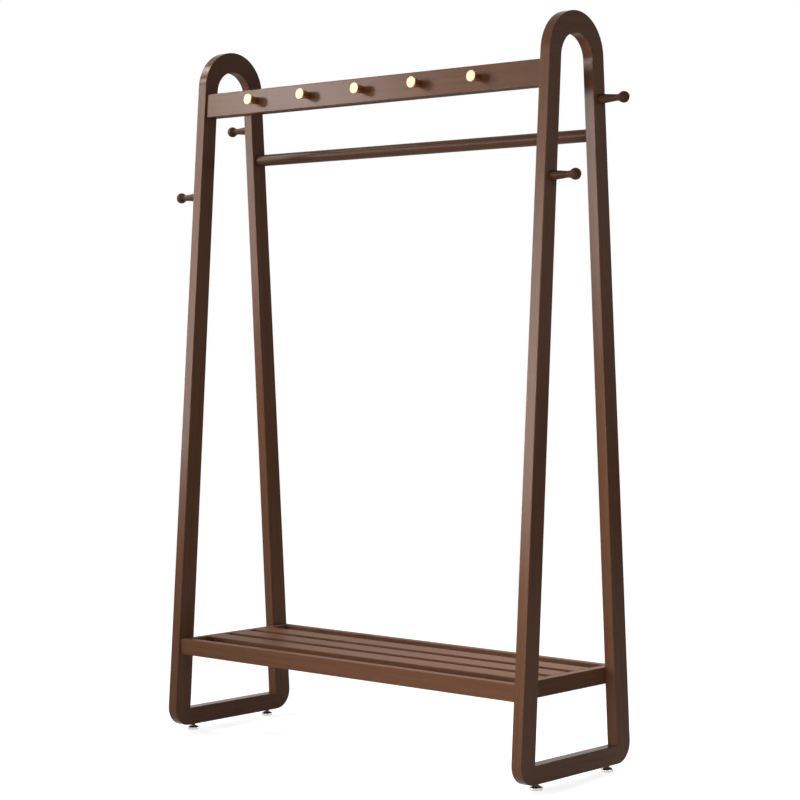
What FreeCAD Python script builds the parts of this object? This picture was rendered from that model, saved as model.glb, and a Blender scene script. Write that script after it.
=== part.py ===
# Clothes rack of lacquered wood: two arched side frames joined by a peg rail,
# a hanging rod and a slatted shelf, with turned pegs and screw-in feet.
# X runs along the rack, Y from front to rear, Z up from the floor. Millimetres.
import FreeCAD, Part
import os
import Sketcher

doc = FreeCAD.newDocument("ClothesRack")
sheet = doc.addObject("Spreadsheet::Sheet", "Dims")

sizes = [
    # Side frames
    ("rack_width", 1100, "over the outer faces of the side frames"),
    ("frame_thick", 27.6, "side frame board, along X"),
    ("frame_depth", 404, "side frame at its foot, before the corners are rounded"),
    ("frame_top", 1686, "crown of the arch above the floor"),
    ("frame_lift", 15, "side frame's underside above the floor"),
    ("arch_radius", 98, "outside of the arch"),
    ("crown_thick", 49.2, "arch from inside to outside at its crown"),
    ("hole_radius", 57, "inside of the arch"),
    ("hole_depth", 299, "inside of the frame just above its foot rail"),
    ("foot_rail_tall", 41.5, "foot rail, along Z"),
    ("corner_radius", 45, "outer foot corners"),
    ("edge_round", 2, "rounding of the long wooden edges"),
    # Peg rail and hanging rod
    ("peg_rail_drop", 112, "peg rail's top edge below the crown of the arch"),
    ("peg_rail_tall", 58.5, "peg rail, along the leg"),
    ("peg_rail_thick", 28, "peg rail, from front to rear"),
    ("peg_rail_recess", 5.5, "peg rail's face behind the leg's front edge"),
    ("rod_diameter", 29, "hanging rod"),
    ("rod_drop", 266, "hanging rod's axis below the crown of the arch"),
    ("socket_depth", 10, "blind socket for the rod in each rear leg"),
    # Shelf
    ("shelf_top", 231, "top of the shelf above the floor"),
    ("shelf_rail_tall", 38, "all four shelf rails, along Z"),
    ("shelf_rail_thick", 22, "front and rear shelf rails, along Y"),
    ("shelf_recess", 5, "shelf rail's face behind the leg's outer edge"),
    ("side_rail_thick", 20, "left and right shelf rails, along X"),
    ("slat_width", 58, "slat, along Y"),
    ("slat_gap", 24, "gap between slats"),
    ("slat_thick", 16, "slat, along Z"),
    # Turned wooden pegs on the outer faces of the legs
    ("side_peg_length", 78, "from the leg to the tip"),
    ("side_peg_base", 23, "diameter at the leg"),
    ("side_peg_neck", 14.8, "diameter at the neck"),
    ("side_peg_neck_reach", 46, "neck from the leg"),
    ("side_peg_ball", 26, "diameter of the ball end"),
    ("tenon_diameter", 12, "round tenon in the leg"),
    ("tenon_length", 18, "round tenon in the leg"),
    ("rear_peg_drop", 187.5, "peg axis on the rear legs below the crown of the arch"),
    ("front_peg_drop", 366.5, "peg axis on the front legs below the crown of the arch"),
    # Brass pegs on the peg rail
    ("brass_length", 29, "from the rail to the flat end"),
    ("brass_end", 25.5, "diameter of the flat end"),
    ("brass_root", 16, "diameter at the rail"),
    ("brass_bevel", 0.8, "bevel round the flat end"),
    ("brass_pitch", 175, "from peg to peg"),
    ("brass_drop", 28.5, "peg axis below the peg rail's top edge"),
    ("stud_diameter", 5, "stud that holds a brass peg"),
    ("stud_in_peg", 12, "stud's length in the brass peg"),
    ("stud_in_rail", 15, "stud's length in the rail"),
    # Screw-in feet
    ("foot_spread", 258, "from front foot to rear foot"),
    ("pad_diameter", 30, "foot pad"),
    ("pad_rim", 6, "height of the pad's rim"),
    ("pad_tall", 10.5, "height of the pad"),
    ("pad_crown", 13, "diameter of the pad's flat top"),
    ("pad_floor", 2.5, "metal under the stem"),
    ("pad_bevel", 1, "bevel round the pad's underside"),
    ("stem_diameter", 10, "threaded stem"),
    ("stem_in_frame", 25, "stem above the frame's underside"),
    ("foot_rise", 8, "room above the stem for screwing in"),
    ("insert_diameter", 13, "threaded insert in the foot rail"),
    ("insert_length", 15, "threaded insert in the foot rail"),
    # Hidden dowels and connectors
    ("dowel_diameter", 8, "frame, peg rail and shelf corner dowels"),
    ("dowel_length", 30, "frame, peg rail and shelf corner dowels"),
    ("dowel_seat", 12, "dowel's length in the thinner piece"),
    ("dowel_pitch", 18, "from dowel to dowel in the frame joints"),
    ("corner_dowel_pitch", 20, "from dowel to dowel in the shelf corners"),
    ("rail_dowel_pitch", 28, "from dowel to dowel in the peg rail's ends"),
    ("slat_dowel_diameter", 6, "slat dowels"),
    ("slat_dowel_length", 24, "slat dowels"),
    ("slat_dowel_seat", 10, "slat dowel's length in the shelf rail"),
    ("slat_dowel_pitch", 30, "from dowel to dowel in a slat's end"),
    ("cam_diameter", 15, "cam lock"),
    ("cam_thick", 13, "cam lock"),
    ("cam_reach", 34, "cam's centre from the rail's end"),
    ("bolt_diameter", 6, "cam bolt"),
    ("bolt_depth", 11, "cam bolt's axis from the rail's hidden face"),
    ("bolt_seat", 11, "cam bolt's length in the leg"),
    ("bolt_play", 0.8, "room round the bolt in the rail and the cam"),
    # Fits
    ("slack", 0.05, "round a glued or pressed piece"),
    ("end_slack", 0.5, "past the end of a blind hole's piece"),
    ("running_slack", 0.06, "round a turning or sliding stem"),
]
slat_count = 3
brass_count = 5

for row, (alias, number, note) in enumerate(sizes, start=1):
    sheet.set("A%d" % row, note)
    sheet.set("B%d" % row, str(number))
    sheet.setAlias("B%d" % row, alias)
doc.recompute()


def dim(alias):
    return "Dims." + alias


def value(expression):
    found = sheet.evalExpression(expression)
    return float(getattr(found, "Value", found))


# Places that several pieces share, as expressions of the sheet
inner_face = "(Dims.rack_width / 2 - Dims.frame_thick)"
frame_middle = "(Dims.rack_width / 2 - Dims.frame_thick / 2)"
hole_floor = "(Dims.frame_lift + Dims.foot_rail_tall)"
outer_centre = "(Dims.frame_top - Dims.arch_radius)"
hole_centre = "(Dims.frame_top - Dims.crown_thick - Dims.hole_radius)"
seam_height = "min(%s; %s)" % (outer_centre, hole_centre)


def lean(half, rise, radius):
    # Angle from upright of a line that leaves the foot and is tangent to the arch
    return "(acos({r} / sqrt(({h})^2 + ({u})^2)) - atan(({u}) / ({h})))".format(h=half, u=rise, r=radius)


outer_lean = lean("Dims.frame_depth / 2", outer_centre + " - Dims.frame_lift", "Dims.arch_radius")
hole_lean = lean("Dims.hole_depth / 2", hole_centre + " - " + hole_floor, "Dims.hole_radius")


def leg_outer(height):
    return "(Dims.frame_depth / 2 - (%s - Dims.frame_lift) * tan(%s))" % (height, outer_lean)


def leg_inner(height):
    return "(Dims.hole_depth / 2 - (%s - %s) * tan(%s))" % (height, hole_floor, hole_lean)


def leg_middle(height):
    return "((%s + %s) / 2)" % (leg_outer(height), leg_inner(height))


peg_rail_top = "(Dims.frame_top - Dims.peg_rail_drop)"
peg_rail_middle = "(%s - Dims.peg_rail_tall / 2)" % peg_rail_top
peg_rail_face = "(%s - Dims.peg_rail_recess / cos(%s))" % (leg_outer(peg_rail_middle), outer_lean)
shelf_middle = "(Dims.shelf_top - Dims.shelf_rail_tall / 2)"
shelf_face = "(%s - Dims.shelf_recess)" % leg_outer(shelf_middle)
shelf_inside = "(%s - Dims.shelf_rail_thick)" % shelf_face
slat_end = "(%s - Dims.side_rail_thick)" % inner_face
foot_side = "(Dims.foot_spread / 2)"


def on_peg_rail(depth, rise):
    # Y and Z of a point of the peg rail, which leans with the front legs: its depth behind
    # the rail's face and its rise along that face from the middle
    y = "(-{f} + ({d}) * cos({a}) + ({r}) * sin({a}))"
    z = "({m} - ({d}) * sin({a}) + ({r}) * cos({a}))"
    parts = {"f": peg_rail_face, "m": peg_rail_middle, "d": depth, "r": rise, "a": outer_lean}
    return y.format(**parts), z.format(**parts)


# Sketches and features
def origin_plane(body, role):
    for feature in body.Origin.OriginFeatures:
        if feature.Role == role:
            return feature


def hold(sketch, geometry, end, kind, expression):
    # Ties one coordinate of a sketch point to an expression
    number = value(expression)
    if abs(number) < 1e-9:
        axis_line = -2 if kind == "DistanceX" else -1
        sketch.addConstraint(Sketcher.Constraint("PointOnObject", geometry, end, axis_line))
        return
    if number > 0:
        index = sketch.addConstraint(Sketcher.Constraint(kind, -1, 1, geometry, end, number))
        sketch.setExpression("Constraints[%d]" % index, expression)
    else:
        index = sketch.addConstraint(Sketcher.Constraint(kind, geometry, end, -1, 1, -number))
        sketch.setExpression("Constraints[%d]" % index, "-(%s)" % expression)


def draw(sketch, corners, arcs=None):
    # A closed outline through corners given as pairs of expressions. arcs gives, for the
    # stretch after a corner, the radius and a point that the arc passes through.
    arcs = arcs or {}
    points = [FreeCAD.Vector(value(a), value(b), 0) for a, b in corners]
    first = sketch.GeometryCount
    count = len(points)
    ends = []
    for i, start in enumerate(points):
        stop = points[(i + 1) % count]
        if i in arcs:
            through = FreeCAD.Vector(*[value(part) for part in arcs[i][1]], 0)
            sketch.addGeometry(Part.Arc(start, through, stop), False)
        else:
            sketch.addGeometry(Part.LineSegment(start, stop), False)
        forward = sketch.getPoint(first + i, 1).distanceToPoint(start) < 1e-6
        ends.append((1, 2) if forward else (2, 1))
    for i, (a, b) in enumerate(corners):
        before = (i - 1) % count
        sketch.addConstraint(
            Sketcher.Constraint("Coincident", first + before, ends[before][1], first + i, ends[i][0])
        )
        hold(sketch, first + i, ends[i][0], "DistanceX", a)
        hold(sketch, first + i, ends[i][0], "DistanceY", b)
        if i in arcs:
            index = sketch.addConstraint(Sketcher.Constraint("Radius", first + i, value(arcs[i][0])))
            sketch.setExpression("Constraints[%d]" % index, arcs[i][0])


def new_sketch(body, role):
    sketch = body.newObject("Sketcher::SketchObject", body.Name + "_sketch")
    sketch.AttachmentSupport = [(origin_plane(body, role), "")]
    sketch.MapMode = "FlatFace"
    return sketch


def place(thing, x="0", y="0", z="0", rotation=None):
    if rotation is not None:
        thing.Placement = FreeCAD.Placement(FreeCAD.Vector(), rotation)
    for axis, expression in zip("xyz", (x, y, z)):
        thing.setExpression("Placement.Base." + axis, expression)


def padded(label, corners, arcs, length):
    # A body whose outline lies in Y and Z and whose length runs along X
    body = doc.addObject("PartDesign::Body", label)
    sketch = new_sketch(body, "YZ_Plane")
    draw(sketch, corners, arcs)
    pad = body.newObject("PartDesign::Pad", label + "_pad")
    pad.Profile = sketch
    pad.setExpression("Length", length)
    doc.recompute()
    return body


def round_edges(body, radius, wanted):
    # Rounds the edges of the body's last feature that the test wanted picks
    tip = body.Tip
    names = ["Edge%d" % i for i, edge in enumerate(tip.Shape.Edges, start=1) if wanted(edge)]
    fillet = body.newObject("PartDesign::Fillet", body.Name + "_round")
    fillet.Base = (tip, names)
    fillet.setExpression("Radius", radius)
    doc.recompute()


def turned(label, corners, arcs, axis, role="XZ_Plane"):
    # A body turned about its own X axis or Z axis
    body = doc.addObject("PartDesign::Body", label)
    sketch = new_sketch(body, role)
    draw(sketch, corners, arcs)
    spin = body.newObject("PartDesign::Revolution", label + "_turned")
    spin.Profile = sketch
    spin.ReferenceAxis = (sketch, [axis])
    spin.Angle = 360
    doc.recompute()
    return body


along = {
    "x": FreeCAD.Rotation(FreeCAD.Vector(0, 1, 0), 90),
    "y": FreeCAD.Rotation(FreeCAD.Vector(1, 0, 0), -90),
    "z": FreeCAD.Rotation(),
}


def rod(label, axis, radius, low, high, x="0", y="0", z="0"):
    # A cylinder along one axis, from low to high on it. The axis "rail" runs square into the
    # peg rail's face, and z is then the rise along that face.
    thing = doc.addObject("Part::Cylinder", label)
    thing.setExpression("Radius", radius)
    thing.setExpression("Height", "(%s) - (%s)" % (high, low))
    if axis == "rail":
        y, z = on_peg_rail(low, z)
        place(thing, x, y, z, FreeCAD.Rotation(FreeCAD.Vector(-1, 0, 0), 90))
        thing.setExpression("Placement.Rotation.Angle", "90 deg + " + outer_lean)
        return thing
    spot = {"x": x, "y": y, "z": z}
    spot[axis] = low
    place(thing, spot["x"], spot["y"], spot["z"], along[axis])
    return thing


def box(label, lows, highs):
    thing = doc.addObject("Part::Box", label)
    for name, low, high in zip(("Length", "Width", "Height"), lows, highs):
        thing.setExpression(name, "(%s) - (%s)" % (high, low))
    place(thing, *lows)
    return thing


def compound(label, things):
    group = doc.addObject("Part::Compound", label)
    group.Links = things
    return group


blanks = {}
holes = {}
groups = {}
nodes = []


def bore(pieces, tool):
    for piece in pieces:
        holes.setdefault(piece, []).append(tool)


def peg_in_hole(group, pieces, axis, diameter, low, high, x="0", y="0", z="0"):
    # One dowel, stud or bolt of a group, and the hole that it needs in its pieces
    number = len(groups.setdefault(group, [])) + 1
    name = "%s_%d" % (group, number)
    groups[group].append(rod(name, axis, diameter + " / 2", low, high, x, y, z))
    hole = rod(
        name + "_hole",
        axis,
        diameter + " / 2 + Dims.slack",
        "(%s) - Dims.end_slack" % low,
        "(%s) + Dims.end_slack" % high,
        x,
        y,
        z,
    )
    bore(pieces, hole)


def signed(sign, expression):
    return expression if sign > 0 else "-(%s)" % expression


def span(sign, start, stop):
    # Low and high ends of a stretch that runs outward on either side
    return (start, stop) if sign > 0 else ("-(%s)" % stop, "-(%s)" % start)


sides = (("left", -1), ("right", 1))
ends = (("front", -1), ("rear", 1))


# Side frames: each is rounded as one outline, then divided at its glued seams
def tangent_point(sign, radius, centre, angle):
    return signed(sign, "%s * cos(%s)" % (radius, angle)), "%s + %s * sin(%s)" % (centre, radius, angle)


def side_frame(side, sign):
    outline = [
        ("-Dims.frame_depth / 2", dim("frame_lift")),
        ("Dims.frame_depth / 2", dim("frame_lift")),
        tangent_point(1, dim("arch_radius"), outer_centre, outer_lean),
        tangent_point(-1, dim("arch_radius"), outer_centre, outer_lean),
    ]
    arch = {2: (dim("arch_radius"), ("0", dim("frame_top")))}
    blank = padded(side + "_frame_blank", outline, arch, dim("frame_thick"))
    opening = [
        ("-Dims.hole_depth / 2", hole_floor),
        ("Dims.hole_depth / 2", hole_floor),
        tangent_point(1, dim("hole_radius"), hole_centre, hole_lean),
        tangent_point(-1, dim("hole_radius"), hole_centre, hole_lean),
    ]
    sketch = new_sketch(blank, "YZ_Plane")
    draw(sketch, opening, {2: (dim("hole_radius"), ("0", "Dims.frame_top - Dims.crown_thick"))})
    pocket = blank.newObject("PartDesign::Pocket", side + "_frame_opening")
    pocket.Profile = sketch
    pocket.Type = "ThroughAll"
    pocket.Midplane = True
    doc.recompute()

    foot = value(dim("frame_lift"))
    corner = value("Dims.frame_depth / 2")

    def foot_corner(edge):
        middle = edge.BoundBox.Center
        at_corner = abs(middle.z - foot) < 0.01 and abs(abs(middle.y) - corner) < 0.01
        return at_corner and edge.BoundBox.XLength > 1

    round_edges(blank, dim("corner_radius"), foot_corner)
    round_edges(blank, dim("edge_round"), lambda edge: edge.BoundBox.XLength < 0.01)
    place(blank, inner_face if sign > 0 else "-Dims.rack_width / 2")

    low_x, high_x = span(sign, inner_face + " - 1", "Dims.rack_width / 2 + 1")
    hole_half = "Dims.hole_depth / 2"
    rail_zone = box(side + "_rail_zone", (low_x, "-" + hole_half, "0"), (high_x, hole_half, hole_floor))
    regions = {
        side + "_foot_rail": rail_zone,
        side + "_arch": box(
            side + "_arch_zone",
            (low_x, "-Dims.frame_depth", seam_height),
            (high_x, "Dims.frame_depth", "Dims.frame_top + 1"),
        ),
    }
    for end, way in ends:
        low_y, high_y = span(way, "0", "Dims.frame_depth")
        zone = box("%s_%s_zone" % (side, end), (low_x, low_y, "0"), (high_x, high_y, seam_height))
        clear = doc.addObject("Part::Cut", "%s_%s_leg_zone" % (side, end))
        clear.Base = zone
        clear.Tool = rail_zone
        regions["%s_%s_leg" % (side, end)] = clear
    for piece, zone in regions.items():
        part = doc.addObject("Part::Common", piece + "_blank")
        part.Base = blank
        part.Tool = zone
        blanks[piece] = part

    # Dowels across the seams
    x = signed(sign, frame_middle)
    group = side + "_frame_dowels"
    half = dim("dowel_length") + " / 2"
    for end, way in ends:
        leg = "%s_%s_leg" % (side, end)
        for step in ("-", "+"):
            y = signed(way, "(%s %s Dims.dowel_pitch / 2)" % (leg_middle(seam_height), step))
            low, high = "%s - %s" % (seam_height, half), "%s + %s" % (seam_height, half)
            peg_in_hole(group, (leg, side + "_arch"), "z", dim("dowel_diameter"), low, high, x, y)
            z = "Dims.frame_lift + Dims.foot_rail_tall / 2 %s Dims.dowel_pitch / 2" % step
            low, high = span(
                way,
                hole_half + " - Dims.dowel_seat",
                hole_half + " + Dims.dowel_length - Dims.dowel_seat",
            )
            peg_in_hole(group, (leg, side + "_foot_rail"), "y", dim("dowel_diameter"), low, high, x, "0", z)


for side, sign in sides:
    side_frame(side, sign)


# Boards that run along X, with their four long edges rounded
def board(label, half_length, corners):
    body = padded(label + "_blank", corners, None, "2 * " + half_length)
    round_edges(body, dim("edge_round"), lambda edge: edge.BoundBox.XLength > 10)
    place(body, "-" + half_length)
    blanks[label] = body


def upright(low_y, high_y, low_z, high_z):
    return [(low_y, low_z), (high_y, low_z), (high_y, high_z), (low_y, high_z)]


half_tall = "Dims.peg_rail_tall / 2"
board(
    "peg_rail",
    inner_face,
    [
        on_peg_rail("0", "-" + half_tall),
        on_peg_rail(dim("peg_rail_thick"), "-" + half_tall),
        on_peg_rail(dim("peg_rail_thick"), half_tall),
        on_peg_rail("0", half_tall),
    ],
)
shelf_floor = "Dims.shelf_top - Dims.shelf_rail_tall"
for end, way in ends:
    low_y, high_y = span(way, shelf_inside, shelf_face)
    board("shelf_%s_rail" % end, inner_face, upright(low_y, high_y, shelf_floor, dim("shelf_top")))

slat_pitch = "(Dims.slat_width + Dims.slat_gap)"
slat_places = {}
for number in range(1, slat_count + 1):
    middle = "(%s * %s)" % (number - (slat_count + 1) / 2, slat_pitch)
    label = "shelf_slat_%d" % number
    slat_places[label] = middle
    board(
        label,
        slat_end,
        upright(
            middle + " - Dims.slat_width / 2",
            middle + " + Dims.slat_width / 2",
            "Dims.shelf_top - Dims.slat_thick",
            dim("shelf_top"),
        ),
    )

# Shelf rails that run along Y, square at their ends and rounded along their top and bottom
for side, sign in sides:
    label = "shelf_%s_rail" % side
    low_x, high_x = span(sign, slat_end, inner_face)
    body = padded(
        label + "_blank",
        [
            ("-" + shelf_inside, shelf_floor),
            (shelf_inside, shelf_floor),
            (shelf_inside, dim("shelf_top")),
            ("-" + shelf_inside, dim("shelf_top")),
        ],
        None,
        dim("side_rail_thick"),
    )
    round_edges(body, dim("edge_round"), lambda edge: edge.BoundBox.YLength > 10)
    place(body, low_x)
    blanks[label] = body

# Hanging rod, seated in a blind socket in each rear leg
rod_z = "(Dims.frame_top - Dims.rod_drop)"
rod_y = leg_middle(rod_z)
rod_half = "%s + Dims.socket_depth" % inner_face
rod_low, rod_high = "-(%s)" % rod_half, rod_half
rod_radius = "Dims.rod_diameter / 2"
nodes.append(rod("hanging_rod", "x", rod_radius, rod_low, rod_high, "0", rod_y, rod_z))
socket_low, socket_high = rod_low + " - Dims.end_slack", rod_high + " + Dims.end_slack"
socket = rod("rod_sockets", "x", rod_radius + " + Dims.slack", socket_low, socket_high, "0", rod_y, rod_z)
bore(("left_rear_leg", "right_rear_leg"), socket)

# Peg rail's end dowels, shelf corner dowels and slat dowels
for side, sign in sides:
    front_leg = side + "_front_leg"
    low, high = span(
        sign,
        inner_face + " - Dims.dowel_length + Dims.dowel_seat",
        inner_face + " + Dims.dowel_seat",
    )
    for step in ("-", "+"):
        y, z = on_peg_rail("Dims.peg_rail_thick / 2", "0 %s Dims.rail_dowel_pitch / 2" % step)
        pieces = (front_leg, "peg_rail")
        peg_in_hole("peg_rail_dowels", pieces, "x", dim("dowel_diameter"), low, high, "0", y, z)
    for end, way in ends:
        pieces = ("shelf_%s_rail" % side, "shelf_%s_rail" % end)
        x = signed(sign, "(%s - Dims.side_rail_thick / 2)" % inner_face)
        start = shelf_inside + " - Dims.dowel_length + Dims.dowel_seat"
        low_y, high_y = span(way, start, shelf_inside + " + Dims.dowel_seat")
        for step in ("-", "+"):
            z = "%s %s Dims.corner_dowel_pitch / 2" % (shelf_middle, step)
            peg_in_hole("shelf_corner_dowels", pieces, "y", dim("dowel_diameter"), low_y, high_y, x, "0", z)
    start = slat_end + " - Dims.slat_dowel_length + Dims.slat_dowel_seat"
    low, high = span(sign, start, slat_end + " + Dims.slat_dowel_seat")
    z = "Dims.shelf_top - Dims.slat_thick / 2"
    for slat, middle in slat_places.items():
        for step in ("-", "+"):
            y = "%s %s Dims.slat_dowel_pitch / 2" % (middle, step)
            pieces = (slat, "shelf_%s_rail" % side)
            peg_in_hole("slat_dowels", pieces, "x", dim("slat_dowel_diameter"), low, high, "0", y, z)


# Cam connectors: a bolt in the leg is pulled by a cam let into the rail's hidden face
def cam_connector(sign, leg, rail, axis, face, way, rise, y, height):
    # face is the hidden face's place on the cam's axis, and way the direction that it looks.
    # The cam lies at rise across that axis, and the bolt at y and height.
    number = len(groups.setdefault("cam_bolts", [])) + 1
    reach = "(%s - Dims.cam_reach)" % inner_face
    bolt_low, bolt_high = span(sign, reach, inner_face + " + Dims.bolt_seat")
    bolt = rod("cam_bolts_%d" % number, "x", "Dims.bolt_diameter / 2", bolt_low, bolt_high, "0", y, height)
    groups["cam_bolts"].append(bolt)
    seat_low, seat_high = span(sign, inner_face, inner_face + " + Dims.bolt_seat + Dims.end_slack")
    seat_radius = "Dims.bolt_diameter / 2 + Dims.slack"
    bore((leg,), rod("cam_seat_%d" % number, "x", seat_radius, seat_low, seat_high, "0", y, height))
    tunnel_low, tunnel_high = span(sign, reach + " - Dims.bolt_play", inner_face)
    tunnel_radius = "Dims.bolt_diameter / 2 + Dims.bolt_play"
    tunnel = rod("cam_tunnel_%d" % number, "x", tunnel_radius, tunnel_low, tunnel_high, "0", y, height)
    x = signed(sign, reach)
    cam_low, cam_high = (face, face + " + Dims.cam_thick") if way < 0 else (face + " - Dims.cam_thick", face)
    cam = rod("cam_blank_%d" % number, axis, "Dims.cam_diameter / 2", cam_low, cam_high, x, "0", rise)
    lock = doc.addObject("Part::Cut", "cam_lock_%d" % number)
    lock.Base = cam
    lock.Tool = tunnel
    groups.setdefault("cam_locks", []).append(lock)
    if way < 0:
        pocket_low, pocket_high = face + " - 1", cam_high + " + Dims.slack"
    else:
        pocket_low, pocket_high = cam_low + " - Dims.slack", face + " + 1"
    pocket_radius = "Dims.cam_diameter / 2 + Dims.slack"
    pocket = rod("cam_pocket_%d" % number, axis, pocket_radius, pocket_low, pocket_high, x, "0", rise)
    bore((rail,), tunnel)
    bore((rail,), pocket)


for side, sign in sides:
    y, z = on_peg_rail("Dims.peg_rail_thick - Dims.bolt_depth", "0")
    cam_connector(sign, side + "_front_leg", "peg_rail", "rail", dim("peg_rail_thick"), 1, "0", y, z)
    for end, way in ends:
        leg, rail = "%s_%s_leg" % (side, end), "shelf_%s_rail" % end
        face = signed(way, shelf_inside)
        y = signed(way, "(%s + Dims.bolt_depth)" % shelf_inside)
        cam_connector(sign, leg, rail, "y", face, -way, shelf_middle, y, shelf_middle)

# Turned wooden pegs, each with a round tenon glued into its leg. A straight taper runs into a
# hollow, which is level at the neck and flows into the ball.
base = "Dims.side_peg_base / 2"
neck = "Dims.side_peg_neck / 2"
neck_reach = dim("side_peg_neck_reach")
ball = "Dims.side_peg_ball / 2"
ball_centre = "(Dims.side_peg_length - %s)" % ball
ball_reach = "(%s - %s)" % (ball_centre, neck_reach)
hollow = "((%s^2 + (%s)^2 - (%s)^2) / (2 * (%s - %s)))" % (ball_reach, neck, ball, ball, neck)
hollow_rise = "(%s + %s - %s)" % (neck, hollow, base)
hollow_far = "sqrt(%s^2 + %s^2)" % (neck_reach, hollow_rise)
taper = "(asin(%s / %s) - atan(%s / %s))" % (hollow, hollow_far, hollow_rise, neck_reach)
flare = "acos(%s / (%s + %s))" % (ball_reach, hollow, ball)
peg_outline = [
    ("-Dims.tenon_length", "0"),
    ("-Dims.tenon_length", "Dims.tenon_diameter / 2"),
    ("0", "Dims.tenon_diameter / 2"),
    ("0", base),
    ("%s - %s * sin(%s)" % (neck_reach, hollow, taper), "%s + %s * (1 - cos(%s))" % (neck, hollow, taper)),
    ("%s - %s * cos(%s)" % (ball_centre, ball, flare), "%s * sin(%s)" % (ball, flare)),
    (dim("side_peg_length"), "0"),
]
peg_arcs = {4: (hollow, (neck_reach, neck)), 5: (ball, (ball_centre, ball))}
peg_heights = {
    "front": "(Dims.frame_top - Dims.front_peg_drop)",
    "rear": "(Dims.frame_top - Dims.rear_peg_drop)",
}
for side, sign in sides:
    for end, way in ends:
        height = peg_heights[end]
        label = "%s_%s_peg" % (side, end)
        peg = turned(label, peg_outline, peg_arcs, "H_Axis")
        turn = FreeCAD.Rotation(FreeCAD.Vector(0, 0, 1), 0 if sign > 0 else 180)
        y = signed(way, leg_middle(height))
        place(peg, signed(sign, "Dims.rack_width / 2"), y, height, turn)
        nodes.append(peg)
        start = "Dims.rack_width / 2 - Dims.tenon_length - Dims.end_slack"
        low, high = span(sign, start, "Dims.rack_width / 2 + 1")
        tenon = "Dims.tenon_diameter / 2 + Dims.slack"
        bore(("%s_%s_leg" % (side, end),), rod(label + "_mortise", "x", tenon, low, high, "0", y, height))

# Brass pegs on the front of the peg rail, each held by a stud
brass_rise = "(Dims.peg_rail_tall / 2 - Dims.brass_drop)"
brass_outline = [
    ("0", "0"),
    ("Dims.brass_root / 2", "0"),
    ("Dims.brass_end / 2", "Dims.brass_length - Dims.brass_bevel"),
    ("Dims.brass_end / 2 - Dims.brass_bevel", dim("brass_length")),
    ("0", dim("brass_length")),
]
for number in range(1, brass_count + 1):
    label = "brass_peg_%d" % number
    x = "(%s * Dims.brass_pitch)" % (number - (brass_count + 1) / 2)
    body = turned(label + "_blank", brass_outline, None, "V_Axis")
    y, z = on_peg_rail("0", brass_rise)
    place(body, x, y, z, FreeCAD.Rotation(FreeCAD.Vector(1, 0, 0), 90))
    body.setExpression("Placement.Rotation.Angle", "90 deg - " + outer_lean)
    blanks[label] = body
    low, high = "-Dims.stud_in_peg", dim("stud_in_rail")
    pieces = (label, "peg_rail")
    peg_in_hole("brass_peg_studs", pieces, "rail", dim("stud_diameter"), low, high, x, "0", brass_rise)

# Screw-in feet: pad, threaded stem and the insert that the stem turns in
stem_bore = "Dims.stem_diameter / 2 + Dims.running_slack"
pad_outline = [
    ("0", "0"),
    ("Dims.pad_diameter / 2 - Dims.pad_bevel", "0"),
    ("Dims.pad_diameter / 2", dim("pad_bevel")),
    ("Dims.pad_diameter / 2", dim("pad_rim")),
    ("Dims.pad_crown / 2", dim("pad_tall")),
    (stem_bore, dim("pad_tall")),
    (stem_bore, dim("pad_floor")),
    ("0", dim("pad_floor")),
]
stem_low = "Dims.pad_floor + Dims.running_slack"
stem_high = "Dims.frame_lift + Dims.stem_in_frame"
inserts = []
for side, sign in sides:
    for end, way in ends:
        x, y = signed(sign, frame_middle), signed(way, foot_side)
        pad = turned("%s_%s_foot_pad" % (side, end), pad_outline, None, "V_Axis")
        place(pad, x, y)
        stem = rod("%s_%s_foot_stem" % (side, end), "z", "Dims.stem_diameter / 2", stem_low, stem_high, x, y)
        nodes.extend([pad, stem])
        name = "foot_insert_%s_%s" % (side, end)
        top = "Dims.frame_lift + Dims.insert_length"
        sleeve = rod(name + "_blank", "z", "Dims.insert_diameter / 2", dim("frame_lift"), top, x, y)
        thread = rod(name + "_thread", "z", stem_bore, dim("frame_lift") + " - 1", top + " + 1", x, y)
        insert = doc.addObject("Part::Cut", name)
        insert.Base = sleeve
        insert.Tool = thread
        inserts.append(insert)
        rail = side + "_foot_rail"
        seat = "Dims.insert_diameter / 2 + Dims.slack"
        bore((rail,), rod(name + "_seat", "z", seat, dim("frame_lift") + " - 1", top, x, y))
        room = "Dims.stem_diameter / 2 + Dims.end_slack"
        room_top = stem_high + " + Dims.foot_rise"
        bore((rail,), rod(name + "_room", "z", room, dim("frame_lift"), room_top, x, y))
groups["foot_inserts"] = inserts

# Finished pieces: each blank less its holes, and the groups of small pieces
for label, blank in blanks.items():
    tools = holes[label]
    finished = doc.addObject("Part::Cut", label)
    finished.Base = blank
    if len(tools) == 1:
        finished.Tool = tools[0]
    else:
        finished.Tool = doc.addObject("Part::MultiFuse", label + "_holes")
        finished.Tool.Shapes = tools
    nodes.append(finished)
for label, things in groups.items():
    nodes.append(compound(label, things))
doc.recompute()

os.makedirs("parts", exist_ok=True)
for thing in doc.Objects:
    if "Invalid" in thing.State or "Error" in thing.State:
        raise RuntimeError("%s did not build" % thing.Name)
for node in nodes:
    shape = node.Shape
    if shape.isNull() or not shape.isValid() or not shape.Solids:
        raise RuntimeError("%s has no valid solid" % node.Label)
    shape.exportStep("parts/%s.step" % node.Label)
print("%d nodes" % len(nodes))
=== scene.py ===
import math
import bmesh
import bpy
from mathutils import Matrix, Vector


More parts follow.
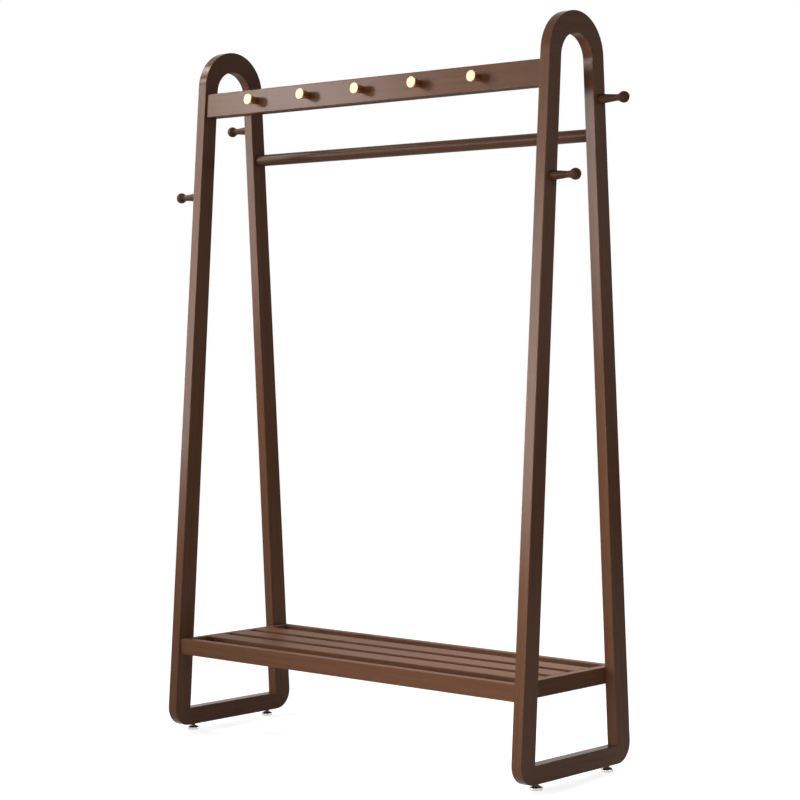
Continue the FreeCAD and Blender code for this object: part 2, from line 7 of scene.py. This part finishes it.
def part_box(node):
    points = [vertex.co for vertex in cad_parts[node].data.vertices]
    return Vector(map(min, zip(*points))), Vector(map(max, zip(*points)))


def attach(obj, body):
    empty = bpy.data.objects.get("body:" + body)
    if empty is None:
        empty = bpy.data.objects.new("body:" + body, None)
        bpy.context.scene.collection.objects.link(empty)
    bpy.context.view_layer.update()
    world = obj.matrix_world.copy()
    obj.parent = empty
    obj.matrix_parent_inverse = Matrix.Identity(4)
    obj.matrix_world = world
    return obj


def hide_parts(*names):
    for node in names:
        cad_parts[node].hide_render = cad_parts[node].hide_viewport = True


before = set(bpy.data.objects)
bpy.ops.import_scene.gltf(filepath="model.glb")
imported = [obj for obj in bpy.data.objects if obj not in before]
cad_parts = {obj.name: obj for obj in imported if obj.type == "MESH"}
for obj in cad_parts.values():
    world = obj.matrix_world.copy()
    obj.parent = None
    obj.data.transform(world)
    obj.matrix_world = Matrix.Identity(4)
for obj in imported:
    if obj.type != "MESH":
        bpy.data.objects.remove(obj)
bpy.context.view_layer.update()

scene = bpy.context.scene
print("frame loaded,", len(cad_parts), "nodes")


def toLinear(hexColour):
    # sRGB hex to the linear colour that a socket takes
    parts = [int(hexColour[i:i + 2], 16) / 255 for i in (1, 3, 5)]
    return [p / 12.92 if p <= 0.04045 else ((p + 0.055) / 1.055) ** 2.4 for p in parts] + [1.0]


def addNode(tree, kind, sockets=None, stops=(), **settings):
    # A socket takes a value or the output that feeds it; stops are a ramp's places and colours
    node = tree.nodes.new(kind)
    for key, value in settings.items():
        setattr(node, key, value)
    for key, value in (sockets or {}).items():
        if isinstance(value, bpy.types.NodeSocket):
            tree.links.new(value, node.inputs[key])
        else:
            node.inputs[key].default_value = value
    for number, (spot, hexColour) in enumerate(stops):
        ramp = node.color_ramp.elements
        stop = ramp[number] if number < len(ramp) else ramp.new(spot)
        stop.position = spot
        stop.color = toLinear(hexColour)
    return node


def emptyTree(owner):
    owner.use_nodes = True
    owner.node_tree.nodes.clear()
    return owner.node_tree


# Walnut-stained wood under satin lacquer: a quiet brown with long darker streaks, fine fibres that show
# in the shine, and a soft reflection
walnutLook = {
    "dark": "#5f402d", "brown": "#664532", "pale": "#6b4935",
    "darkAt": 0.42, "brownAt": 0.66, "paleAt": 0.92,    # places in the mix of streaks and fibres
    "streakWide": 0.007, "streakLong": 0.28,    # growth rings in the board's face
    "streakDetail": 3.0, "streakRough": 0.55, "streakBend": 0.4,
    "fibreWide": 0.0014, "fibreLong": 0.05,     # real fibres are finer, drawn coarser so that they show
    "fibreDetail": 2.0, "fibreShare": 0.35, "fibreRelief": 0.35, "fibreDepth": 0.00004,
    "roughLow": 0.2, "roughHigh": 0.25, "gloss": 0.07,
}
slatLook = dict(walnutLook, roughLow=0.46, roughHigh=0.54, gloss=0.05)    # the shelf is rubbed flatter
shadedTurnedLook = dict(walnutLook, dark="#4a3122", brown="#503627", pale="#553a2a",    # darker copy of the walnut: painted shade on the rod and side pegs
               roughLow=0.24, roughHigh=0.3, gloss=0.05, fibreDepth=0.00001)


def lacqueredWalnut(name, grainTurn, look):
    material = bpy.data.materials.new(name)
    tree = emptyTree(material)
    place = addNode(tree, "ShaderNodeTexCoord")
    # Each Mapping turns the grain along the piece and gives it its real size, so the noise has a scale of 1
    streakMap = addNode(tree, "ShaderNodeMapping", {
        "Vector": place.outputs["Object"], "Rotation": grainTurn,
        "Scale": (look["streakWide"], look["streakWide"], look["streakLong"])}, vector_type="TEXTURE")
    fibreMap = addNode(tree, "ShaderNodeMapping", {
        "Vector": place.outputs["Object"], "Rotation": grainTurn,
        "Scale": (look["fibreWide"], look["fibreWide"], look["fibreLong"])}, vector_type="TEXTURE")
    streaks = addNode(tree, "ShaderNodeTexNoise", {
        "Vector": streakMap.outputs["Vector"], "Scale": 1.0, "Detail": look["streakDetail"],
        "Roughness": look["streakRough"], "Distortion": look["streakBend"]})
    fibres = addNode(tree, "ShaderNodeTexNoise", {
        "Vector": fibreMap.outputs["Vector"], "Scale": 1.0, "Detail": look["fibreDetail"]})
    both = addNode(tree, "ShaderNodeMath", {    # mostly streaks, some fibre
        0: fibres.outputs["Fac"], 1: look["fibreShare"], 2: streaks.outputs["Fac"]}, operation="MULTIPLY_ADD")
    stain = addNode(tree, "ShaderNodeValToRGB", {"Fac": both.outputs["Value"]}, stops=(
        (look["darkAt"], look["dark"]), (look["brownAt"], look["brown"]), (look["paleAt"], look["pale"])))
    rough = addNode(tree, "ShaderNodeMapRange", {
        "Value": streaks.outputs["Fac"], "To Min": look["roughLow"], "To Max": look["roughHigh"]})
    relief = addNode(tree, "ShaderNodeBump", {
        "Height": fibres.outputs["Fac"], "Strength": look["fibreRelief"], "Distance": look["fibreDepth"]})
    lacquer = addNode(tree, "ShaderNodeBsdfPrincipled", {
        "Base Color": stain.outputs["Color"], "Roughness": rough.outputs["Result"],
        "Normal": relief.outputs["Normal"], "Specular IOR Level": look["gloss"]})
    addNode(tree, "ShaderNodeOutputMaterial", {"Surface": lacquer.outputs["BSDF"]})
    return material


frontLean = math.radians(3.63)   # middle of the leg, between its outer and inner edges
railLean = math.radians(3.775)   # front edge of the leg, which the peg rail follows
alongRack = (0, math.pi / 2, 0)
frontToRear = (-math.pi / 2, 0, 0)
walnutGrain = {
    "long": lacqueredWalnut("walnut lacquered along the rack", alongRack, walnutLook),
    "deep": lacqueredWalnut("walnut lacquered front to rear", frontToRear, walnutLook),
    "front": lacqueredWalnut("walnut lacquered up the front legs", (-frontLean, 0, 0), walnutLook),
    "rear": lacqueredWalnut("walnut lacquered up the rear legs", (frontLean, 0, 0), walnutLook),
    "slat": lacqueredWalnut("walnut rubbed along the slats", alongRack, slatLook),
    "cross": lacqueredWalnut("walnut rubbed front to rear", frontToRear, slatLook),
    # the rod and side pegs take the darker copy of the walnut, painted shade
    "turned": lacqueredWalnut("walnut turned along the rack", alongRack, shadedTurnedLook),
}
for node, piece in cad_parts.items():
    if node.endswith("_leg"):
        grain = "front" if "front" in node else "rear"
    elif node.endswith("_arch") or node.endswith("_foot_rail"):
        grain = "deep"
    elif node in ("shelf_left_rail", "shelf_right_rail"):
        grain = "cross"
    elif node.startswith("shelf_"):
        grain = "slat"
    elif node == "hanging_rod" or node.endswith("_peg"):
        grain = "turned"
    else:
        grain = "long"
    for finish in piece.material_slots:
        if finish.material.name.startswith("walnut_lacquer"):
            finish.material = walnutGrain[grain]
print("walnut laid on the wooden nodes")

# Turned brass: warm gold that blurs what it mirrors, with the fine rings that the lathe tool leaves
brassLook = {
    "deep": "#b98f52", "gold": "#d2ae74", "deepAt": 0.3, "goldAt": 0.6,
    "ringWide": 0.0005, "ringDetail": 2.0, "ringRelief": 0.4, "ringDepth": 0.000006,
    "roughLow": 0.24, "roughHigh": 0.34,
    "endHighlightPale": "#beb092", "endDull": 0.36,      # the flat end is duller, and paler as a painted highlight
    "endReach": 0.0125, "endFade": 0.001,
}
turnedBrass = bpy.data.materials.new("brass turned on a lathe")
tree = emptyTree(turnedBrass)
reach = addNode(tree, "ShaderNodeAttribute", attribute_name="latheReach")
ringPitch = addNode(tree, "ShaderNodeMath", {
    0: reach.outputs["Fac"], 1: brassLook["ringWide"]}, operation="DIVIDE")
rings = addNode(tree, "ShaderNodeTexNoise", noise_dimensions="1D", sockets={
    "W": ringPitch.outputs["Value"], "Scale": 1.0, "Detail": brassLook["ringDetail"]})
gold = addNode(tree, "ShaderNodeValToRGB", {"Fac": rings.outputs["Fac"]}, stops=(
    (brassLook["deepAt"], brassLook["deep"]), (brassLook["goldAt"], brassLook["gold"])))
rough = addNode(tree, "ShaderNodeMapRange", {
    "Value": rings.outputs["Fac"], "To Min": brassLook["roughLow"], "To Max": brassLook["roughHigh"]})
relief = addNode(tree, "ShaderNodeBump", {
    "Height": rings.outputs["Fac"], "Strength": brassLook["ringRelief"], "Distance": brassLook["ringDepth"]})
onEnd = addNode(tree, "ShaderNodeMapRange", {    # 1 on the flat end, 0 on the cone
    "Value": reach.outputs["Fac"], "From Min": brassLook["endReach"],
    "From Max": brassLook["endReach"] + brassLook["endFade"], "To Min": 1.0, "To Max": 0.0})
# the flat end's paler colour is a painted highlight of the bright lamp it mirrors
paintedEndHighlight = addNode(tree, "ShaderNodeMix", data_type="RGBA", sockets={
    "Factor": onEnd.outputs["Result"], "A": gold.outputs["Color"], "B": toLinear(brassLook["endHighlightPale"])})
duller = addNode(tree, "ShaderNodeMath", {
    0: onEnd.outputs["Result"], 1: brassLook["endDull"], 2: rough.outputs["Result"]}, operation="MULTIPLY_ADD")
shader = addNode(tree, "ShaderNodeBsdfPrincipled", {
    "Base Color": paintedEndHighlight.outputs["Result"], "Roughness": duller.outputs["Value"],
    "Normal": relief.outputs["Normal"], "Metallic": 1.0})
addNode(tree, "ShaderNodeOutputMaterial", {"Surface": shader.outputs["BSDF"]})

# Chrome plate: a near mirror, a little cloudy where it was handled
chromeLook = {"cloudy": "#c2c2c0", "bright": "#dededd", "cloudWide": 0.006, "cloudDetail": 3.0,
              "roughLow": 0.04, "roughHigh": 0.1}
polishedChrome = bpy.data.materials.new("chrome plate polished")
tree = emptyTree(polishedChrome)
place = addNode(tree, "ShaderNodeTexCoord")
cloudMap = addNode(tree, "ShaderNodeMapping", {
    "Vector": place.outputs["Object"], "Scale": [chromeLook["cloudWide"]] * 3}, vector_type="TEXTURE")
clouds = addNode(tree, "ShaderNodeTexNoise", {
    "Vector": cloudMap.outputs["Vector"], "Scale": 1.0, "Detail": chromeLook["cloudDetail"]})
tone = addNode(tree, "ShaderNodeValToRGB", {"Fac": clouds.outputs["Fac"]}, stops=(
    (0.0, chromeLook["cloudy"]), (1.0, chromeLook["bright"])))
rough = addNode(tree, "ShaderNodeMapRange", {    # the bright parts are the smooth ones
    "Value": clouds.outputs["Fac"], "To Min": chromeLook["roughHigh"], "To Max": chromeLook["roughLow"]})
shader = addNode(tree, "ShaderNodeBsdfPrincipled", {
    "Base Color": tone.outputs["Color"], "Roughness": rough.outputs["Result"], "Metallic": 1.0})
addNode(tree, "ShaderNodeOutputMaterial", {"Surface": shader.outputs["BSDF"]})

# Zinc: plated steel shows small cool and warm flecks, cast alloy a duller grainy skin
# the plate's flecks are its own; its overall dark tone is painted shade and a painted reflection of the dark wood
# over the stems
shadedPlateLook = {"dull": "#5c5c5b", "bright": "#807f7b", "dullAt": 0.3, "brightAt": 0.7,
             "fleckWide": 0.0015, "fleckDetail": 4.0, "roughLow": 0.28, "roughHigh": 0.42,
             "skinRelief": 0.3, "skinDepth": 0.00001}
castLook = dict(shadedPlateLook, dull="#83868a", bright="#9fa1a2", fleckWide=0.0008,
                roughLow=0.42, roughHigh=0.58, skinDepth=0.00002)


def zincFinish(name, look):
    material = bpy.data.materials.new(name)
    tree = emptyTree(material)
    place = addNode(tree, "ShaderNodeTexCoord")
    fleckMap = addNode(tree, "ShaderNodeMapping", {
        "Vector": place.outputs["Object"], "Scale": [look["fleckWide"]] * 3}, vector_type="TEXTURE")
    flecks = addNode(tree, "ShaderNodeTexNoise", {
        "Vector": fleckMap.outputs["Vector"], "Scale": 1.0, "Detail": look["fleckDetail"]})
    tone = addNode(tree, "ShaderNodeValToRGB", {"Fac": flecks.outputs["Fac"]}, stops=(
        (look["dullAt"], look["dull"]), (look["brightAt"], look["bright"])))
    rough = addNode(tree, "ShaderNodeMapRange", {
        "Value": flecks.outputs["Fac"], "To Min": look["roughHigh"], "To Max": look["roughLow"]})
    relief = addNode(tree, "ShaderNodeBump", {
        "Height": flecks.outputs["Fac"], "Strength": look["skinRelief"], "Distance": look["skinDepth"]})
    shader = addNode(tree, "ShaderNodeBsdfPrincipled", {
        "Base Color": tone.outputs["Color"], "Roughness": rough.outputs["Result"],
        "Normal": relief.outputs["Normal"], "Metallic": 1.0})
    addNode(tree, "ShaderNodeOutputMaterial", {"Surface": shader.outputs["BSDF"]})
    return material


zincPlate = zincFinish("steel zinc plated", shadedPlateLook)
castZinc = zincFinish("zinc alloy die cast", castLook)

# Raw beech of the hidden dowels: pale, with short darker flecks along the grain
beechLook = {"fleck": "#b78d5f", "pale": "#d9b98c", "fleckAt": 0.35, "paleAt": 0.6,
             "fleckWide": 0.0012, "fleckLong": 0.008, "fleckDetail": 3.0, "rough": 0.7}
rawBeech = bpy.data.materials.new("beech left raw")
tree = emptyTree(rawBeech)
place = addNode(tree, "ShaderNodeTexCoord")
fleckMap = addNode(tree, "ShaderNodeMapping", {
    "Vector": place.outputs["Object"],
    "Scale": (beechLook["fleckLong"], beechLook["fleckWide"], beechLook["fleckWide"])}, vector_type="TEXTURE")
flecks = addNode(tree, "ShaderNodeTexNoise", {
    "Vector": fleckMap.outputs["Vector"], "Scale": 1.0, "Detail": beechLook["fleckDetail"]})
tone = addNode(tree, "ShaderNodeValToRGB", {"Fac": flecks.outputs["Fac"]}, stops=(
    (beechLook["fleckAt"], beechLook["fleck"]), (beechLook["paleAt"], beechLook["pale"])))
shader = addNode(tree, "ShaderNodeBsdfPrincipled", {
    "Base Color": tone.outputs["Color"], "Roughness": beechLook["rough"]})
addNode(tree, "ShaderNodeOutputMaterial", {"Surface": shader.outputs["BSDF"]})

slotFinish = {"dowel_wood": rawBeech, "zinc_steel": zincPlate, "zinc_alloy": castZinc,
              "brass": turnedBrass, "chrome": polishedChrome}
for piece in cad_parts.values():
    for finish in piece.material_slots:
        for slotName, material in slotFinish.items():
            if finish.material.name.startswith(slotName):
                finish.material = material
print("metal and dowel finishes laid")

sharpFrom = math.radians(32)    # an edge that turns more than this stays sharp
latheWeld = 0.000005            # points of a spun outline that lie nearer are one


def placePiece(name, bm, material, node, body):
    # A finished bmesh becomes a piece that stands for its CAD node and moves with that body
    bmesh.ops.recalc_face_normals(bm, faces=bm.faces[:])
    for edge in bm.edges:
        edge.smooth = edge.is_manifold and edge.calc_face_angle() < sharpFrom
    for face in bm.faces:
        face.smooth = True
    mesh = bpy.data.meshes.new(name)
    bm.to_mesh(mesh)
    bm.free()
    mesh.materials.append(material)
    piece = bpy.data.objects.new(name, mesh)
    scene.collection.objects.link(piece)
    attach(piece, body)
    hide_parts(node)


def drawOutline(bm, corners):
    # Edges from each corner to the next
    before = None
    for spot in corners:
        corner = bm.verts.new(spot)
        if before:
            bm.edges.new((before, corner))
        before = corner


def turnOnLathe(bm, outline, foot, axis, steps):
    # Spins an outline of radius and height corners round the axis
    side = axis.orthogonal().normalized()
    drawOutline(bm, [foot + side * radius + axis * height for radius, height in outline])
    bmesh.ops.spin(bm, geom=bm.verts[:] + bm.edges[:], cent=foot, axis=axis, angle=2 * math.pi,
                   steps=steps, use_merge=True)
    bmesh.ops.remove_doubles(bm, verts=bm.verts[:], dist=latheWeld)
    bmesh.ops.recalc_face_normals(bm, faces=bm.faces[:])


def easeEdges(bm, edges, size, steps):
    bmesh.ops.bevel(bm, geom=edges, offset=size, offset_type="OFFSET", affect="EDGES",
                    segments=steps, profile=0.5, material=-1)


# Brass pegs: a cone that widens to a flat end with an eased rim
brassPeg = {"count": 5, "root": 0.008, "end": 0.012885, "length": 0.029, "steps": 72,
            "rim": 0.0008, "rimSteps": 4, "rimAngle": 0.5, "rimFrom": 0.02}    # the sharp edge at the far end
axis = Vector((0, -math.cos(railLean), math.sin(railLean)))    # square to the leaning peg rail
for number in range(1, brassPeg["count"] + 1):
    low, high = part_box("brass_peg_%d" % number)
    ringMiddle = brassPeg["length"] - brassPeg["rim"]
    foot = Vector(((low.x + high.x) / 2,
                   low.y - axis.y * brassPeg["length"] + axis.z * (brassPeg["end"] - brassPeg["rim"]),
                   (low.z + high.z) / 2 - axis.z * ringMiddle))
    bm = bmesh.new()
    turnOnLathe(bm, [(0, 0), (brassPeg["root"], 0), (brassPeg["end"], brassPeg["length"]),
                     (0, brassPeg["length"])], foot, axis, brassPeg["steps"])
    rim = [e for e in bm.edges if e.calc_face_angle() > brassPeg["rimAngle"]
           and (e.verts[0].co - foot).dot(axis) > brassPeg["rimFrom"]]
    easeEdges(bm, rim, brassPeg["rim"], brassPeg["rimSteps"])
    reach = bm.verts.layers.float.new("latheReach")    # way of the lathe tool, from the middle of the end
    for v in bm.verts:
        along = (v.co - foot).dot(axis)
        v[reach] = (v.co - foot - axis * along).length + brassPeg["length"] - along
    placePiece("brassPeg%d" % number, bm, turnedBrass, "brass_peg_%d" % number, "rack")
print("brass pegs turned")

# Feet: a chrome pad with a sloping top and rounded shoulders, on a threaded stem
footPad = {"sole": 0.014, "rim": 0.015, "solePart": 0.001, "rimTall": 0.006, "crown": 0.0065, "tall": 0.0105,
           "bore": 0.00506, "boreFloor": 0.0025, "steps": 72,
           "ease": 0.0009, "easeSteps": 4, "easeAngle": 0.3, "easeFrom": 0.007}    # edges outside the bore
footStem = {"crest": 0.00499, "root": 0.0042, "pitch": 0.0015, "steps": 28, "spareTurns": 2, "weld": 0.00001,
            "crestFrom": -0.58, "crestTo": -0.42}    # the flat of the crest, in parts of the pitch
low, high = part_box("left_front_foot_stem")
pitch = footStem["pitch"]
turns = math.ceil((high.z - low.z) / pitch) + footStem["spareTurns"]
groove = ((footStem["root"], -1.0), (footStem["crest"], footStem["crestFrom"]),
          (footStem["crest"], footStem["crestTo"]), (footStem["root"], 0.0))
thread = bmesh.new()    # one groove spun up the stem, then cut square at both ends
drawOutline(thread, [(radius, 0, low.z + pitch * rise) for radius, rise in groove])
bmesh.ops.spin(thread, geom=thread.verts[:] + thread.edges[:], cent=(0, 0, 0), axis=(0, 0, 1),
               dvec=(0, 0, pitch / footStem["steps"]), angle=2 * math.pi * turns,
               steps=footStem["steps"] * turns)
bmesh.ops.remove_doubles(thread, verts=thread.verts[:], dist=footStem["weld"])
for height, way in ((high.z, 1), (low.z, -1)):
    bmesh.ops.bisect_plane(thread, geom=thread.verts[:] + thread.edges[:] + thread.faces[:],
                           plane_co=(0, 0, height), plane_no=(0, 0, way), clear_outer=True)
bmesh.ops.holes_fill(thread, edges=[e for e in thread.edges if e.is_boundary], sides=0)
padOutline = [(0, 0), (footPad["sole"], 0), (footPad["rim"], footPad["solePart"]),
              (footPad["rim"], footPad["rimTall"]), (footPad["crown"], footPad["tall"]),
              (footPad["bore"], footPad["tall"]), (footPad["bore"], footPad["boreFloor"]),
              (0, footPad["boreFloor"])]
for side in ("left", "right"):
    for end in ("front", "rear"):
        foot = "%s_%s_foot" % (side, end)
        low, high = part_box(foot + "_pad")
        middle = Vector(((low.x + high.x) / 2, (low.y + high.y) / 2, low.z))
        bm = bmesh.new()
        turnOnLathe(bm, padOutline, middle, Vector((0, 0, 1)), footPad["steps"])
        shoulders = [e for e in bm.edges if e.calc_face_angle() > footPad["easeAngle"]
                     and (e.verts[0].co - middle).xy.length > footPad["easeFrom"]]
        easeEdges(bm, shoulders, footPad["ease"], footPad["easeSteps"])
        placePiece("%s%sFootPad" % (side, end.title()), bm, polishedChrome,
                   foot + "_pad", foot + "_base")
        bm = thread.copy()
        bmesh.ops.translate(bm, vec=middle, verts=bm.verts[:])
        placePiece("%s%sFootStem" % (side, end.title()), bm, zincPlate,
                   foot + "_stem", foot + "_screw")
thread.free()
print("feet turned and threaded")


def onlyVerts(geom):
    return [v for v in geom if isinstance(v, bmesh.types.BMVert)]


# Cam locks in the hidden faces of the rails: a cast disc with a cross recess for the driver
camLock = {
    "radius": 0.0075, "deep": 0.013, "recess": 0.003,
    "cells": 7, "armHalf": 0.1, "armReach": 0.75,    # cells across the disc, and which of them make the cross
    "crossTurn": 20, "reachX": 0.4884,
    "rows": ((-0.067616, 1.542907, -90 - math.degrees(railLean)), (-0.162, 0.212, -90),
             (0.162, 0.212, 90)),    # face, height, turn
}
bm = bmesh.new()
bmesh.ops.create_grid(bm, x_segments=camLock["cells"], y_segments=camLock["cells"], size=1)
cross = []
for f in bm.faces:
    near, far = sorted(map(abs, f.calc_center_median().xy))
    if near < camLock["armHalf"] and far < camLock["armReach"]:
        cross.append(f)
for v in bm.verts:    # square sheet drawn into a round one
    x, y = v.co.xy
    v.co.x, v.co.y = x * math.sqrt(1 - y * y / 2), y * math.sqrt(1 - x * x / 2)
bmesh.ops.scale(bm, vec=(camLock["radius"], camLock["radius"], 1), verts=bm.verts[:])
sunk = bmesh.ops.extrude_face_region(bm, geom=cross)["geom"]
bmesh.ops.translate(bm, vec=(0, 0, -camLock["recess"]), verts=onlyVerts(sunk))
bmesh.ops.delete(bm, geom=[f for f in cross if f.is_valid], context="FACES_ONLY")
wall = bmesh.ops.extrude_edge_only(bm, edges=[e for e in bm.edges if e.is_boundary])["geom"]
bmesh.ops.translate(bm, vec=(0, 0, -camLock["deep"]), verts=onlyVerts(wall))
bmesh.ops.holes_fill(bm, edges=[e for e in bm.edges if e.is_boundary], sides=0)
first = bm.verts[:] + bm.edges[:] + bm.faces[:]
crossTurn = Matrix.Rotation(math.radians(camLock["crossTurn"]), 4, "Z")
for face, height, faceTurn in camLock["rows"]:
    for x in (-camLock["reachX"], camLock["reachX"]):
        copied = bmesh.ops.duplicate(bm, geom=first)["geom"]
        turn = Matrix.Rotation(math.radians(faceTurn), 4, "X") @ crossTurn
        bmesh.ops.transform(bm, matrix=Matrix.Translation((x, face, height)) @ turn,
                            verts=onlyVerts(copied))
bmesh.ops.delete(bm, geom=onlyVerts(first), context="VERTS")
placePiece("camLocks", bm, castZinc, "cam_locks", "rack")
print("cam locks cast")

# Camera at the photograph's angle, level, its frame shifted down a little
photoCamera = {"spot": (3.33206, -3.74421, 0.97429), "tilt": 90, "turn": 41.382,
               "lens": 95.717, "sensor": 36, "shiftY": -0.0804, "clipEnd": 200}
cameraData = bpy.data.cameras.new("photoCamera")
cameraData.lens = photoCamera["lens"]
cameraData.sensor_width = photoCamera["sensor"]
cameraData.shift_y = photoCamera["shiftY"]
cameraData.clip_end = photoCamera["clipEnd"]
camera = bpy.data.objects.new("photoCamera", cameraData)
camera.location = photoCamera["spot"]
camera.rotation_euler = (math.radians(photoCamera["tilt"]), 0, math.radians(photoCamera["turn"]))
scene.collection.objects.link(camera)
scene.camera = camera

# Soft boxes, each for the faces that its note names
softBoxes = {
    "leftBox": {"spot": (-3.5, -2.96, 1.5), "aim": (-0.5, -0.1, 1.5),    # mirrored by the left legs
                "size": (0.6, 1.5), "power": 4.2, "spread": 48},
    "midBox": {"spot": (-2.43, -3.97, 1.4), "aim": (0.5, -0.1, 1.25),    # mirrored by the right legs
               "size": (0.6, 1.5), "power": 7.2, "spread": 48},
    "railBox": {"spot": (-3.25, -3.15, 2.47), "aim": (-0.2, 0, 1.55),    # shine on the peg rail
                "size": (0.72, 0.24), "power": 15, "spread": 120},
    "archBox": {"spot": (-3.9, -2.5, 3.2), "aim": (-0.55, 0, 1.6),    # shine on the left arch
                "size": (0.55, 0.65), "power": 7, "spread": 70},
    "pegBox": {"spot": (-0.9, -2.2, 2.2), "aim": (-0.35, 0, 1.55),    # a little on the brass pegs
               "size": (0.6, 0.6), "power": 1, "spread": 60},
    "highBox": {"spot": (0.1, 2.3, 2.3), "aim": (0.4, 0, 0.23),    # shelf, from behind
                "size": (0.6, 0.4), "power": 4.6, "spread": 38},
    "lowBox": {"spot": (0.8, -2.9, 0.3), "aim": (0.5, 0, 0.7),    # low, on the right front leg
               "size": (0.6, 0.4), "power": 5.5, "spread": 60},
    "shelfBox": {"spot": (-2.3, -0.75, 2.9), "aim": (0.15, 0, 0.23),    # shelf, from high at the left
                 "size": (0.8, 0.8), "power": 3, "spread": 40},
    "rightFill": {"spot": (4.2, -0.6, 1.7), "aim": (0.4, 0, 1.2),    # weak fill on the right side
                  "size": (1.2, 1.2), "power": 4.2, "spread": 60},
    "sideBox": {"spot": (-4.2, 0.5, 1.2), "aim": (-0.5, 0, 0.9),    # left side, not in the photograph
                "size": (1.2, 1.2), "power": 14, "spread": 90},
    "rearBox": {"spot": (-0.5, 4.2, 1.4), "aim": (0, 0, 0.9),    # rear, not in the photograph
                "size": (1.4, 1.2), "power": 16, "spread": 90},
}
for name, box in softBoxes.items():
    lampData = bpy.data.lights.new(name, "AREA")
    lampData.shape = "RECTANGLE"
    lampData.size, lampData.size_y = box["size"]
    lampData.energy = box["power"]
    lampData.spread = math.radians(box["spread"])
    lamp = bpy.data.objects.new(name, lampData)
    lamp.location = box["spot"]
    aim = Vector(box["aim"]) - Vector(box["spot"])
    lamp.rotation_euler = aim.to_track_quat("-Z", "Y").to_euler()
    scene.collection.objects.link(lamp)


def seenShare(tree, path, glossy):
    # 1 for a ray that shows the place to the eye: straight, mirrored or through something clear
    looked = addNode(tree, "ShaderNodeMath", {
        0: path.outputs["Is Camera Ray"], 1: glossy}, operation="ADD", use_clamp=True)
    seen = addNode(tree, "ShaderNodeMath", {
        0: looked.outputs["Value"], 1: path.outputs["Is Transmission Ray"]}, operation="ADD", use_clamp=True)
    return seen.outputs["Value"]


# World: next to no light on the object, white where it is looked at or mirrored
studio = {
    "ambient": 0.01, "white": 1.0, "floorSpan": 30, "floorPale": "#b8b8b8",
    "glowNear": 0.82, "glowFar": 1.0, "nearReach": 0.6, "farReach": 2.0,    # the floor's own glow, near and far
    "paperReach": 3.0, "roomReach": 6.0, "roomDim": 0.08,    # what the pieces mirror: pale paper, then a dim room
}
world = bpy.data.worlds.new("studioWorld")
scene.world = world
tree = emptyTree(world)
path = addNode(tree, "ShaderNodeLightPath")
soft = addNode(tree, "ShaderNodeBackground", {"Color": (1, 1, 1, 1), "Strength": studio["ambient"]})
white = addNode(tree, "ShaderNodeBackground", {"Color": (1, 1, 1, 1), "Strength": studio["white"]})
either = addNode(tree, "ShaderNodeMixShader", {
    "Fac": seenShare(tree, path, path.outputs["Is Glossy Ray"]),
    1: soft.outputs["Background"], 2: white.outputs["Background"]})
addNode(tree, "ShaderNodeOutputWorld", {"Surface": either.outputs["Shader"]})

# Pale paper floor: its own glow lifts it to white where it is seen, and the rack's shadow still falls on it
paper = bpy.data.materials.new("pale studio paper, matt")
tree = emptyTree(paper)
path = addNode(tree, "ShaderNodeLightPath")
place = addNode(tree, "ShaderNodeTexCoord")
away = addNode(tree, "ShaderNodeVectorMath", {0: place.outputs["Object"]}, operation="LENGTH")
fade = addNode(tree, "ShaderNodeMapRange", interpolation_type="SMOOTHSTEP", sockets={
    "Value": away.outputs["Value"], "From Min": studio["nearReach"], "From Max": studio["farReach"],
    "To Min": studio["glowNear"], "To Max": studio["glowFar"]})
room = addNode(tree, "ShaderNodeMapRange", {
    "Value": away.outputs["Value"], "From Min": studio["paperReach"], "From Max": studio["roomReach"],
    "To Min": 1.0, "To Max": studio["roomDim"]})
mirrored = addNode(tree, "ShaderNodeMath", {
    0: path.outputs["Is Glossy Ray"], 1: room.outputs["Result"]}, operation="MULTIPLY")
lift = addNode(tree, "ShaderNodeMath", {
    0: seenShare(tree, path, mirrored.outputs["Value"]), 1: fade.outputs["Result"]}, operation="MULTIPLY")
glow = addNode(tree, "ShaderNodeEmission", {"Strength": lift.outputs["Value"]})
matt = addNode(tree, "ShaderNodeBsdfDiffuse", {"Color": toLinear(studio["floorPale"])})
both = addNode(tree, "ShaderNodeAddShader", {0: glow.outputs["Emission"], 1: matt.outputs["BSDF"]})
addNode(tree, "ShaderNodeOutputMaterial", {"Surface": both.outputs["Shader"]})
bm = bmesh.new()
bmesh.ops.create_grid(bm, x_segments=1, y_segments=1, size=studio["floorSpan"])
floorMesh = bpy.data.meshes.new("paperFloor")
bm.to_mesh(floorMesh)
bm.free()
floorMesh.materials.append(paper)
paperFloor = bpy.data.objects.new("paperFloor", floorMesh)
scene.collection.objects.link(paperFloor)
print("camera, soft boxes and paper floor set")

scene.view_settings.view_transform = "Standard"
